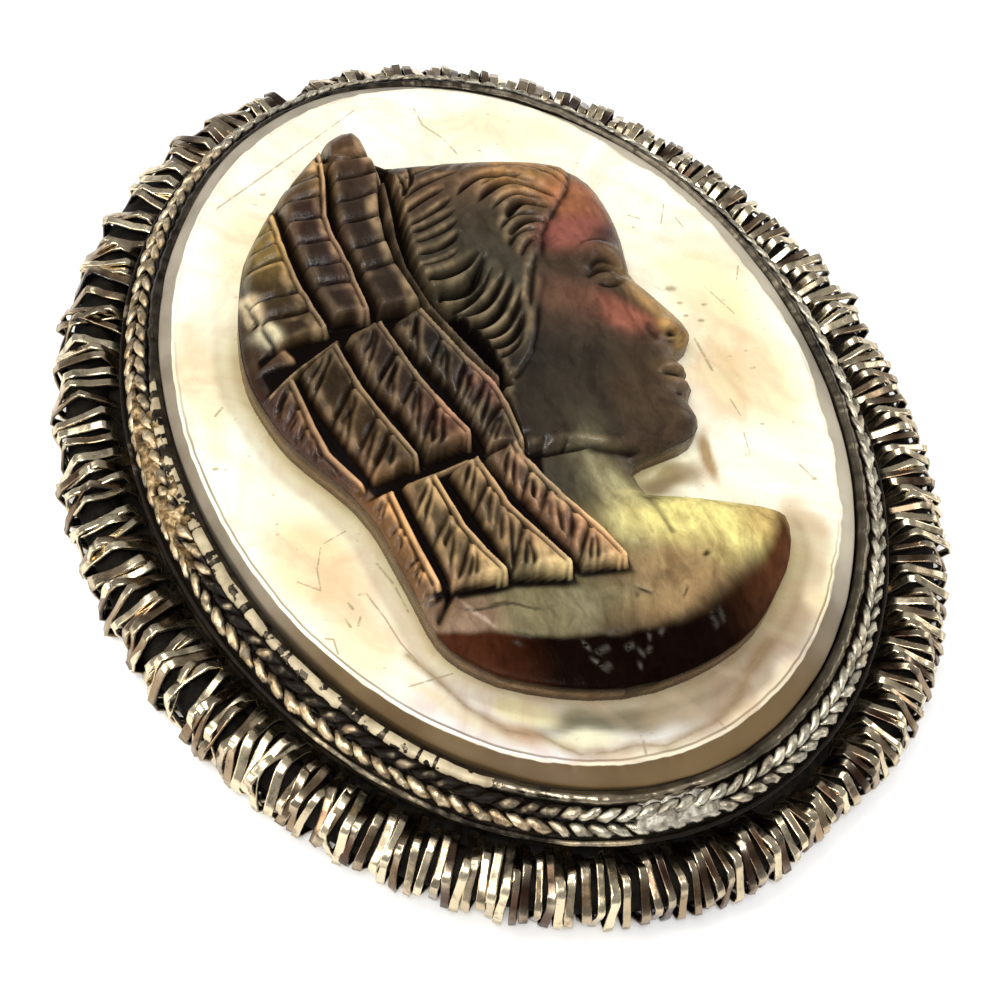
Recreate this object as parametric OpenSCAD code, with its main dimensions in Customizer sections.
// An oval cameo brooch: a carved dark shell bust on a mother-of-pearl plaque, held in a metal
// bezel with two twisted wires round it and a border of square-wound coiled wire.
// It lies face up. +Z comes out of the face, +Y is the top of the head, and z = 0 is the surface
// that it rests on. The origin is the middle of the coiled border. Lengths are in millimetres.

/* [Shell plaque] */
// Width of the plaque at its widest
plaque_w = 29.1; // [24:0.1:34]
// Length of the plaque at its longest
plaque_l = 39.3; // [35:0.1:45]
// Thickness of the plaque
plaque_t = 3.05; // [2.6:0.05:4]
// Width of the bevel round the flat face, at the sides
bevel_side = 0.6; // [0.3:0.05:1.2]
// Width of the bevel at the top and the foot
bevel_end = 0.775; // [0.4:0.025:1.4]
// Height of the bevel
bevel_h = 0.5; // [0.2:0.05:1]
// Sideways place of the flat face on the plaque, which was ground by hand
face_x = -0.15; // [-0.3:0.05:0.3]
// Lengthwise place of the flat face on the plaque
face_y = 0.08; // [-0.3:0.02:0.3]

/* [Border of coiled wire] */
// How far the middle of the coil lies outside the plaque's edge, at the sides
border_side = 3.53; // [3.3:0.01:6]
// How far it lies outside the plaque's edge at the top and the foot
border_end = 2.73; // [2.6:0.01:6]
// Radius of the coil, from its middle to a corner of a turn
border_r = 1.62; // [1.2:0.01:1.7]
// Quarter turns by which the square coil twists on its way round
border_units = 58; // [40:2:80]

/* [Bezel and back plate] */
// Height of the back plate above the resting surface
plate_z = 2.1; // [1.9:0.05:2.4]
// Thickness of the back plate
plate_t = 0.5; // [0.4:0.05:0.8]
// Thickness of the bezel wall
wall_t = 0.45; // [0.3:0.05:0.6]
// How far the top of the bezel wall lies under the lower edge of the plaque's bevel
rim_drop = 0.06; // [0:0.01:0.3]
// Thickness of the ledge that carries the twisted wires
ledge_t = 0.4; // [0.3:0.05:0.6]
// Sideways place of the setting inside the border
setting_x = -0.35; // [-0.5:0.05:0.5]
// Lengthwise place of the setting inside the border
setting_y = -0.28; // [-0.5:0.02:0.5]

/* [Twisted wires] */
// Radius of each pair of twisted strands
twist_r = 0.3; // [0.2:0.01:0.35]
// Depth of the inner twisted wire under the plaque's face
inner_drop = 0.95; // [0.8:0.05:1.2]
// Depth of the outer twisted wire under the plaque's face
outer_drop = 1.45; // [1.3:0.05:1.6]

/* [Carved bust] */
// Length of the bust from the foot of the shoulder to the top of the front roll of hair
bust_h = 30.8; // [24:0.2:31.6]
// Height of the highest lock above the plaque
relief_h = 2.6; // [1.8:0.1:3.5]
// Height of the bust's upright outer wall
bust_wall = 0.85; // [0.4:0.05:1.2]

/* [Pin] */
// Length of the strip that the pin's hinge and catch stand on
pin_bar_l = 25; // [18:0.5:28]
// Width of that strip
pin_bar_w = 2.2; // [1.6:0.1:3]
// Thickness of that strip
pin_bar_t = 0.3; // [0.2:0.05:0.4]
// Radius of the pin's stem
pin_r = 0.35; // [0.25:0.01:0.4]
// Radius of the hinge barrel
hinge_r = 0.72; // [0.6:0.02:0.75]
// Length of the catch along the stem
catch_l = 1.8; // [1.2:0.1:3]
// Thickness of the catch's curled strip
catch_t = 0.25; // [0.2:0.05:0.3]
// Distance of the pin above the middle of the brooch
pin_y = 6; // [0:0.5:9]

/* [Clearance] */
// Gap left between neighbouring pieces
gap = 0.05; // [0.02:0.01:0.08]

/* [Hidden] */

// Heights
plaque_z = plate_z + plate_t + gap;
face_z = plaque_z + plaque_t;
rim_z = face_z - bevel_h - rim_drop;
inner_z = face_z - inner_drop;
outer_z = face_z - outer_drop;
ledge_z = outer_z - twist_r - gap;

// Half widths and half lengths of the oval rings, as [x, y]
plaque_half = [plaque_w / 2, plaque_l / 2];
face_half = plaque_half - [bevel_side, bevel_end];
border_half = plaque_half + [border_side, border_end];
cup_half = plaque_half + [gap, gap];
bezel_half = cup_half + [wall_t, wall_t];
inner_half = bezel_half + [gap + twist_r, gap + twist_r];
wire_step = 2 * twist_r + gap;
wire_step_out = sqrt(wire_step * wire_step - (outer_drop - inner_drop) * (outer_drop - inner_drop));
outer_half = inner_half + [wire_step_out, wire_step_out];
flange_half = border_half - [border_r + gap, border_r + gap];

// Where two turns of the border are crushed: angle round the ring, half the angle that is
// crushed, and the share of the radius that is lost in the middle
CRUSHED = [
    [293, 15, 0.34],
    [103, 8, 0.40],
];
SECTIONS_A_UNIT = 4;
WIRE_RINGS = 80;
WIRE_SIDES = 8;
OVAL_STEPS = 120;

function oval_point(half, a) = [half.x * cos(a), half.y * sin(a)];
function oval_normal(half, a) =
    let (n = [cos(a) / half.x, sin(a) / half.y])
    n / norm(n);
function share_lost(a) = max([for (c = CRUSHED)
    let (away = abs((a - c[0] + 540) % 360 - 180))
    away < c[1] ? c[2] * (1 + cos(180 * away / c[1])) / 2 : 0]);

// Faces of a closed ring of sections, each with as many points as sides
function ring_faces(sections, sides) = [for (i = [0:sections - 1]) for (j = [0:sides - 1])
    let (i2 = (i + 1) % sections, j2 = (j + 1) % sides)
    each [[i * sides + j, i2 * sides + j, i2 * sides + j2],
        [i * sides + j, i2 * sides + j2, i * sides + j2]]];

// A closed tube along an oval: radii and twist may change from section to section
module oval_tube(half, z, radii, twists, sides) {
    n = len(radii);
    points = [for (i = [0:n - 1])
        let (a = 360 * i / n, c = oval_point(half, a), out = oval_normal(half, a))
        for (j = [0:sides - 1])
            let (b = 360 * j / sides + twists[i])
            [c.x + out.x * radii[i] * cos(b), c.y + out.y * radii[i] * cos(b),
                z + radii[i] * sin(b)]];
    polyhedron(points, ring_faces(n, sides));
}

module oval(half) {
    scale([half.x / half.y, 1]) circle(half.y, $fn = OVAL_STEPS);
}

module in_setting() {
    translate([setting_x, setting_y, 0]) children();
}

// Back plate with its flange under the border, the bezel wall and the ledge, soldered together
module bezel_setting() {
    color([0.42, 0.37, 0.29]) {
        translate([0, 0, plate_z]) linear_extrude(plate_t) oval(flange_half);
        in_setting() {
            translate([0, 0, plate_z + plate_t / 2]) linear_extrude(rim_z - plate_z - plate_t / 2)
                difference() {
                    oval(bezel_half);
                    oval(cup_half);
                }
            translate([0, 0, ledge_z - ledge_t]) linear_extrude(ledge_t)
                difference() {
                    oval(outer_half);
                    oval(cup_half);
                }
        }
    }
}

// Plaque: straight sides, then a ground bevel up to the flat face
module shell_plaque() {
    levels = [
        [plaque_half, [0, 0], plaque_z],
        [plaque_half, [0, 0], face_z - bevel_h],
        [face_half, [face_x, face_y], face_z],
    ];
    n = OVAL_STEPS;
    points = [for (level = levels) for (i = [0:n - 1])
        let (p = oval_point(level[0], 360 * i / n) + level[1])
        [p.x, p.y, level[2]]];
    sides = [for (k = [0:len(levels) - 2]) for (i = [0:n - 1])
        let (i2 = (i + 1) % n)
        [k * n + i, (k + 1) * n + i, (k + 1) * n + i2, k * n + i2]];
    bottom = [for (i = [0:n - 1]) i];
    top = [for (i = [0:n - 1]) len(levels) * n - 1 - i];
    color([0.93, 0.90, 0.80]) in_setting() polyhedron(points, concat(sides, [bottom, top]));
}

// Twisted wires, each one a plain round bar here
module inner_twisted_wire() {
    color([0.62, 0.52, 0.36]) in_setting() oval_tube(inner_half, inner_z,
        [for (i = [1:WIRE_RINGS]) twist_r], [for (i = [1:WIRE_RINGS]) 0], WIRE_SIDES);
}

module outer_twisted_wire() {
    color([0.66, 0.57, 0.42]) in_setting() oval_tube(outer_half, outer_z,
        [for (i = [1:WIRE_RINGS]) twist_r], [for (i = [1:WIRE_RINGS]) 0], WIRE_SIDES);
}

// The coil's outer form: a square bar that twists by a quarter turn a unit
module coil_border() {
    n = border_units * SECTIONS_A_UNIT;
    radii = [for (i = [0:n - 1]) border_r * (1 - share_lost(360 * i / n))];
    twists = [for (i = [0:n - 1]) 90 * i / SECTIONS_A_UNIT];
    color([0.47, 0.42, 0.33]) oval_tube(border_half, border_r, radii, twists, 4);
}

// Carved bust. Its tables place everything in squares of the carver's grid, measured from the
// middle of the plaque's flat face, and give heights as shares of the relief's height. The bust
// is 30.8 squares long.
square = bust_h / 30.8;
WALL_SHARE = bust_wall / relief_h;

// Outline, a row for each level: y, x of the left edge and x of the right edge. The right edge
// runs from the crown down a plain calm profile to the throat and the shoulder.
EDGES = [
    [14.60, -3.50, -2.95], [14.30, -4.10, -2.72], [13.80, -5.00, -2.60], [13.20, -5.60, -2.50],
    [12.70, -6.10, -2.35], [12.40, -6.40, -1.90], [12.22, -6.57, 0.80], [12.10, -6.68, 2.20],
    [11.92, -6.84, 3.40], [11.70, -7.03, 4.60], [11.40, -7.30, 5.60], [11.00, -7.60, 6.30],
    [10.50, -8.00, 6.80], [9.90, -8.42, 7.15], [9.20, -8.90, 7.35], [8.50, -9.35, 7.45],
    [7.80, -9.75, 7.50], [7.10, -10.02, 7.50], [6.40, -10.25, 7.44], [5.70, -10.45, 7.34],
    [5.00, -10.63, 7.22], [4.30, -10.78, 7.12], [3.60, -10.90, 7.28], [2.90, -11.00, 7.58],
    [2.20, -11.05, 7.92], [1.50, -11.06, 8.25], [0.90, -11.00, 8.50], [0.40, -10.92, 8.58],
    [0.05, -10.85, 8.45], [-0.25, -10.78, 8.02], [-0.50, -10.72, 7.50], [-0.85, -10.63, 7.36],
    [-1.20, -10.53, 7.42], [-1.55, -10.42, 7.62], [-1.85, -10.31, 7.60], [-2.10, -10.21, 7.36],
    [-2.35, -10.09, 7.50], [-2.70, -9.90, 7.50], [-3.05, -9.70, 7.22], [-3.40, -9.48, 7.06],
    [-3.80, -9.22, 7.12], [-4.25, -8.94, 7.18], [-4.70, -8.67, 7.02], [-5.05, -8.46, 6.66],
    [-5.30, -8.33, 6.10], [-5.50, -8.24, 5.20], [-5.70, -8.16, 4.30], [-6.00, -8.05, 3.60],
    [-6.50, -7.87, 3.38], [-7.10, -7.72, 3.45], [-7.60, -7.63, 3.60], [-7.75, -7.60, 4.20],
    [-7.95, -7.57, 5.00], [-8.30, -7.52, 6.10], [-8.75, -7.45, 7.30], [-9.15, -7.39, 8.30],
    [-9.50, -7.33, 8.85], [-9.80, -7.28, 9.05], [-10.30, -7.21, 9.02], [-11.00, -7.12, 8.80],
    [-11.70, -7.02, 8.45], [-12.40, -6.86, 8.00], [-13.00, -6.60, 7.45], [-13.55, -6.20, 6.95],
    [-14.10, -5.65, 6.40], [-14.60, -5.05, 5.80], [-15.15, -4.00, 4.85], [-15.65, -2.80, 3.60],
    [-16.00, -1.60, 2.30], [-16.20, -0.40, 1.00],
];
COLUMNS = 44;
// Share of the columns' spacing that closes up towards the edges
CROWDING = 0.4;
// Width over which the top rounds down to the upright wall
EDGE_ROUND = 1.7;

// Front edge of the combed hair, from the forehead down to the temple: y and x
HAIRLINE = [[-1.6, -1.2], [-1.2, 0], [-0.2, 0.9], [1.0, 1.5], [2.4, 2.0], [3.6, 2.6],
    [5.0, 3.0], [6.4, 3.5], [7.6, 4.4], [9.0, 5.6], [10.4, 6.2], [12.4, 6.4]];

// Main masses: x and y of the middle, half width, half length, height share
HEAD_MASS = [2.6, 3.0, 8.6, 13.0, 0.80];
HAIR_MASS = [-5.5, 2.0, 9.5, 18.0, 0.64];
NECK_MASS = [1.2, -7.0, 3.4, 7.0, 0.60];
SHOULDER_MASS = [0.8, -11.6, 13.0, 8.0, 0.50];
// Where the masses begin and end: underside of the jaw, back of the head under the hair, right
// and lower edges of the hair, left edge and top of the neck, top of the shoulder
JAW_Y = -6.2;
HEAD_X = -3.4;
HAIR_X = -2.6;
HAIR_Y = -11.4;
NECK_X = -0.6;
NECK_Y = -5.6;
SHOULDER_Y = -5.5;
FACE_X = 2;
// Height share of the crevices between locks, and of the pinch between two segments
CREVICE = 0.5;
PINCH = 0.07;
// Height share by which the combed hair stands above the face
COMBED = 0.09;

// Locks, a row for each: x and y of its upper end, x and y of its lower end, width at its
// upper end, width at its lower end, height share, and number of segments
LOCKS = [
    [-4.0, 14.0, -4.1, 2.6, 2.2, 2.2, 0.98, 6],
    [-6.2, 12.6, -6.4, 2.6, 2.2, 2.2, 0.92, 6],
    [-8.6, 9.6, -8.6, 2.4, 2.0, 2.6, 0.82, 4],
    [-10.2, 5.0, -10.3, 1.2, 1.0, 1.5, 0.60, 3],
    [-10.2, -0.6, -8.6, -5.0, 2.0, 1.4, 0.74, 4],
    [-8.2, 0.8, -6.5, -4.8, 2.1, 1.8, 0.92, 4],
    [-6.1, 1.6, -4.2, -4.3, 2.1, 1.9, 1.00, 4],
    [-3.7, 1.9, -1.8, -4.2, 1.7, 1.7, 0.92, 4],
    [-7.4, -6.3, -6.9, -10.2, 1.2, 1.2, 0.66, 3],
    [-5.5, -6.2, -4.5, -10.4, 1.7, 2.1, 0.86, 4],
    [-3.6, -5.9, -2.1, -10.6, 1.7, 2.3, 0.92, 4],
    [-1.7, -5.5, 0.5, -10.6, 1.6, 2.0, 0.86, 4],
];
// Forms of the face, a row for each: x, y, half length, half width, tilt and height share
FACE_FORMS = [
    [6.0, 5.2, 1.9, 0.6, -10, 0.07],
    [5.9, 3.7, 1.5, 0.9, -6, -0.16],
    [5.8, 3.6, 0.8, 0.45, -6, 0.12],
    [4.4, 0.6, 2.2, 1.6, -30, 0.05],
    [7.3, 0.2, 0.6, 0.5, 20, 0.10],
    [6.9, -2.1, 0.9, 0.25, 6, -0.08],
    [6.9, -1.65, 0.8, 0.3, 10, 0.05],
    [6.8, -2.65, 0.8, 0.35, -8, 0.06],
    [6.5, -4.3, 0.8, 0.8, 0, 0.07],
];

function clamp01(v) = min(1, max(0, v));
function soft_step(v) = let (c = clamp01(v)) c * c * (3 - 2 * c);
function round_over(v) = sqrt(max(0, 1 - pow(1 - clamp01(v), 2)));
function to_segment(p, a, b) =
    let (ab = b - a, t = clamp01((p - a) * ab / (ab * ab)))
    norm(p - a - ab * t);
// Distance from the outline's nearest stretch, looked for a few rows up and down
function inset(p, row) = min([for (k = [max(0, row - 7):min(len(EDGES) - 2, row + 7)])
    let (u = EDGES[k], v = EDGES[k + 1])
    min(to_segment(p, [u[1], u[0]], [v[1], v[0]]), to_segment(p, [u[2], u[0]], [v[2], v[0]]))]);
function mass(p, m) =
    m[4] * sqrt(max(0, 1 - pow((p.x - m[0]) / m[2], 2) * 0.5 - pow((p.y - m[1]) / m[3], 2) * 0.5));
function form(p, f) =
    let (d = p - [f[0], f[1]], u = (d.x * cos(f[4]) + d.y * sin(f[4])) / f[2],
        v = (d.y * cos(f[4]) - d.x * sin(f[4])) / f[3])
    f[5] * exp(-u * u - v * v);
function lock_height(p, k) =
    let (top = [k[0], k[1]], foot = [k[2], k[3]], run = norm(foot - top),
        along = (foot - top) / run, s = (p - top) * along / run,
        away = abs((p.x - top.x) * along.y - (p.y - top.y) * along.x),
        half = (k[4] + (k[5] - k[4]) * clamp01(s)) / 2,
        past = max(0, -s * run, (s - 1) * run), side = norm([away, past * 1.5]) / half,
        pinch = pow(abs(cos(180 * s * k[7])), 8))
    side < 1 ? k[6] - (k[6] - CREVICE) * pow(side, 3) - PINCH * pinch : 0;
function combed(p) = COMBED * soft_step((lookup(p.y, HAIRLINE) - p.x) / 0.5);
function face_forms(p, i = 0) =
    i == len(FACE_FORMS) ? 0 : form(p, FACE_FORMS[i]) + face_forms(p, i + 1);
function head_share(p) =
    p.y < JAW_Y || p.x < HEAD_X ? 0
        : (mass(p, HEAD_MASS) + combed(p) + (p.x > FACE_X ? face_forms(p) : 0))
            * soft_step((p.y - JAW_Y) / 0.8) * soft_step((p.x - HEAD_X) / 0.5);
function top_share(p) = max(
    p.x < NECK_X || p.y > NECK_Y ? 0 : mass(p, NECK_MASS),
    p.x < HAIR_X ? mass(p, HAIR_MASS) * soft_step((p.y - HAIR_Y) / 0.5) : 0,
    mass(p, SHOULDER_MASS) * soft_step((SHOULDER_Y - p.y) / 1.5),
    head_share(p),
    max([for (k = LOCKS) lock_height(p, k)]));
function relief(p, row) =
    let (d = inset(p, row))
    relief_h * (WALL_SHARE + max(0, top_share(p) - WALL_SHARE) * round_over(d / EDGE_ROUND));

module carved_bust() {
    rows = len(EDGES);
    last = COLUMNS - 1;
    points = [for (j = [0:rows - 1])
        let (e = EDGES[j])
        each concat(
            [for (i = [0:last])
                let (even = i / last, crowded = (1 - cos(180 * even)) / 2,
                    p = [e[1] + (e[2] - e[1]) * (even + (crowded - even) * CROWDING), e[0]])
                [p.x * square, p.y * square, relief(p, j)]],
            [[e[1] * square, e[0] * square, 0], [e[2] * square, e[0] * square, 0]])];
    step = COLUMNS + 2;
    left = COLUMNS;
    right = COLUMNS + 1;
    top = [for (j = [0:rows - 2]) for (i = [0:last - 1])
        let (a = j * step + i)
        each [[a, a + 1, a + step + 1], [a, a + step + 1, a + step]]];
    edges = [for (j = [0:rows - 2])
        let (a = j * step, b = a + step)
        each [[a + left, a, b], [a + left, b, b + left],
            [a + last, a + right, b + right], [a + last, b + right, b + last],
            [a + right, a + left, b + left], [a + right, b + left, b + right]]];
    foot = (rows - 1) * step;
    ends = concat(
        [for (i = [0:last - 1]) [left, i + 1, i]], [[left, right, last]],
        [for (i = [0:last - 1]) [foot + left, foot + i, foot + i + 1]],
        [[foot + left, foot + last, foot + right]]);
    color([0.33, 0.25, 0.20])
        translate([setting_x + face_x, setting_y + face_y, face_z + gap])
            polyhedron(points, concat(top, edges, ends));
}

// How far the catch's mouth is turned from straight down
CATCH_TURN = 20;

// Pin at the back, one plain piece: strip, hinge barrel, stem and catch
module brooch_pin() {
    bar_z = plate_z - gap - pin_bar_t;
    pin_z = bar_z - hinge_r + pin_bar_t / 2;
    hinge_x = pin_bar_l / 2 - hinge_r;
    catch_x = -pin_bar_l / 2 + catch_l / 2;
    catch_r = hinge_r;
    color([0.60, 0.56, 0.48]) translate([0, pin_y, 0]) {
        translate([-pin_bar_l / 2, -pin_bar_w / 2, bar_z]) cube([pin_bar_l, pin_bar_w, pin_bar_t]);
        translate([hinge_x, 0, pin_z]) rotate([90, 0, 0])
            cylinder(h = pin_bar_w, r = hinge_r, center = true, $fn = 48);
        translate([catch_x - catch_l / 2, 0, pin_z]) rotate([0, 90, 0])
            cylinder(h = hinge_x - catch_x + catch_l / 2, r = pin_r, $fn = 32);
        translate([catch_x, 0, pin_z]) rotate([0, 90, 0]) difference() {
            cylinder(h = catch_l, r = catch_r, center = true, $fn = 48);
            cylinder(h = catch_l + 1, r = catch_r - catch_t, center = true, $fn = 48);
            translate([0, 0, -catch_l]) rotate(CATCH_TURN) cube([catch_r, catch_r, 2 * catch_l]);
        }
    }
}

bezel_setting();
shell_plaque();
carved_bust();
inner_twisted_wire();
outer_twisted_wire();
coil_border();
brooch_pin();
